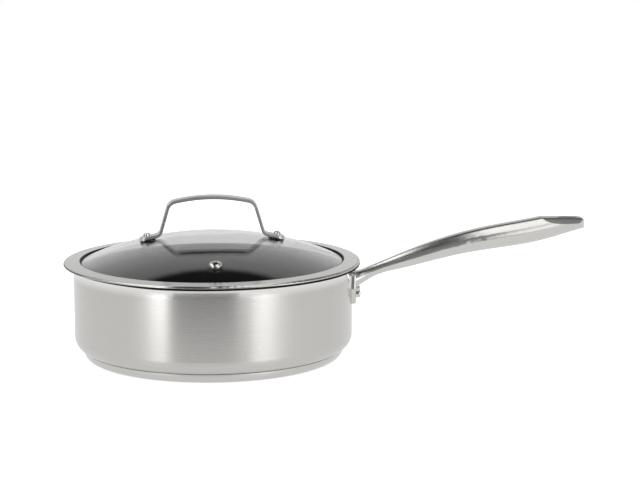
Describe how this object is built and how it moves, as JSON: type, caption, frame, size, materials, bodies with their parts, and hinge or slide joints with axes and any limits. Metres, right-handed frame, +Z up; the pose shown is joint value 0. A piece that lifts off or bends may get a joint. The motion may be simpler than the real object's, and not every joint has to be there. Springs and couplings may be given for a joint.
{
  "type": "saute pan with lid",
  "caption": "Straight-sided stainless saute pan with a long cast handle and a domed glass lid in a wide steel band with a bent strap handle and a steam vent.",
  "frame": {"origin": "middle of the foot, where the pan rests", "axes": "+X along the long handle, +Z up, +Y to the back as the picture shows it"},
  "size_m": [0.4519, 0.2576, 0.1404],
  "materials": {
    "wall_steel": "brushed round the wall",
    "nonstick_coating": "satin black non-stick",
    "base_aluminium": "mill",
    "base_steel": "satin",
    "handle_steel": "satin polished casting",
    "rivet_steel": "polished",
    "tempered_glass": "clear tempered",
    "band_steel": "satin",
    "black_rubber": "matte silicone rubber",
    "polished_steel": "polished",
    "strap_steel": "satin"
  },
  "bodies": {
    "pan": {"vessel": "wall_steel", "interior_coating": "nonstick_coating", "base_core": "base_aluminium", "base_cap": "base_steel", "pan_handle": "handle_steel", "handle_rivets": "rivet_steel"},
    "lid": {"lid_glass": "tempered_glass", "lid_band": "band_steel", "glass_seal": "black_rubber", "vent_eyelet": "polished_steel", "lid_handle": "strap_steel", "strap_pads": "black_rubber", "handle_studs": "polished_steel", "glass_bushes": "black_rubber", "cap_nuts": "polished_steel"}
  },
  "joints": [
    {"name": "lid_lift", "type": "slide", "parent": "pan", "child": "lid", "axis": [0, 0, 1], "range_m": [0, 0.1]}
  ]
}
